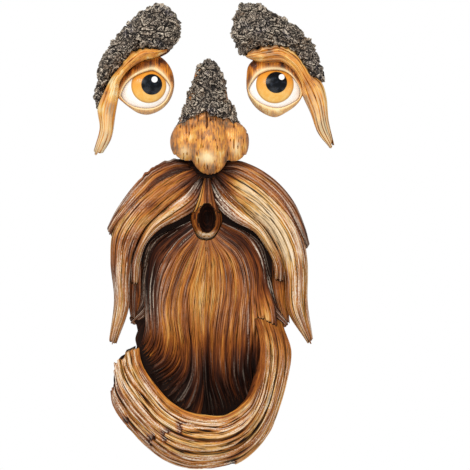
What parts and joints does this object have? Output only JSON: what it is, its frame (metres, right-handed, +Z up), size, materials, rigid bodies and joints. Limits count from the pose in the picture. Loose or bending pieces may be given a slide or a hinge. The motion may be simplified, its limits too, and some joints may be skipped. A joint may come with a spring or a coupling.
{
  "type": "tree face bird feeder",
  "caption": "Wall or trunk hung face in cast pieces: eyes with bark brows, a nose, and a moustache and beard whose end sweeps round into an open food bowl",
  "frame": {"origin": "a point on the flat back of the moustache and beard casting, on the face's middle line and above the mouth", "axes": "+X to the viewer's right, +Y into the tree or wall the face hangs on, +Z up. The face looks along -Y and all four flat backs lie on y = 0"},
  "size_m": [0.2404, 0.104, 0.4675],
  "materials": {
    "beard": "painted cast resin, brown and orange wood with pale worn ridges",
    "nose": "painted cast resin, orange brown wood under grey bark",
    "left_eye": "painted cast resin, wood brow, grey bark and a glossy eye",
    "right_eye": "painted cast resin, wood brow, grey bark and a glossy eye"
  },
  "bodies": {
    "root": {"beard_bowl": "beard", "nose": "nose", "left_eye": "left_eye", "right_eye": "right_eye"}
  },
  "joints": []
}
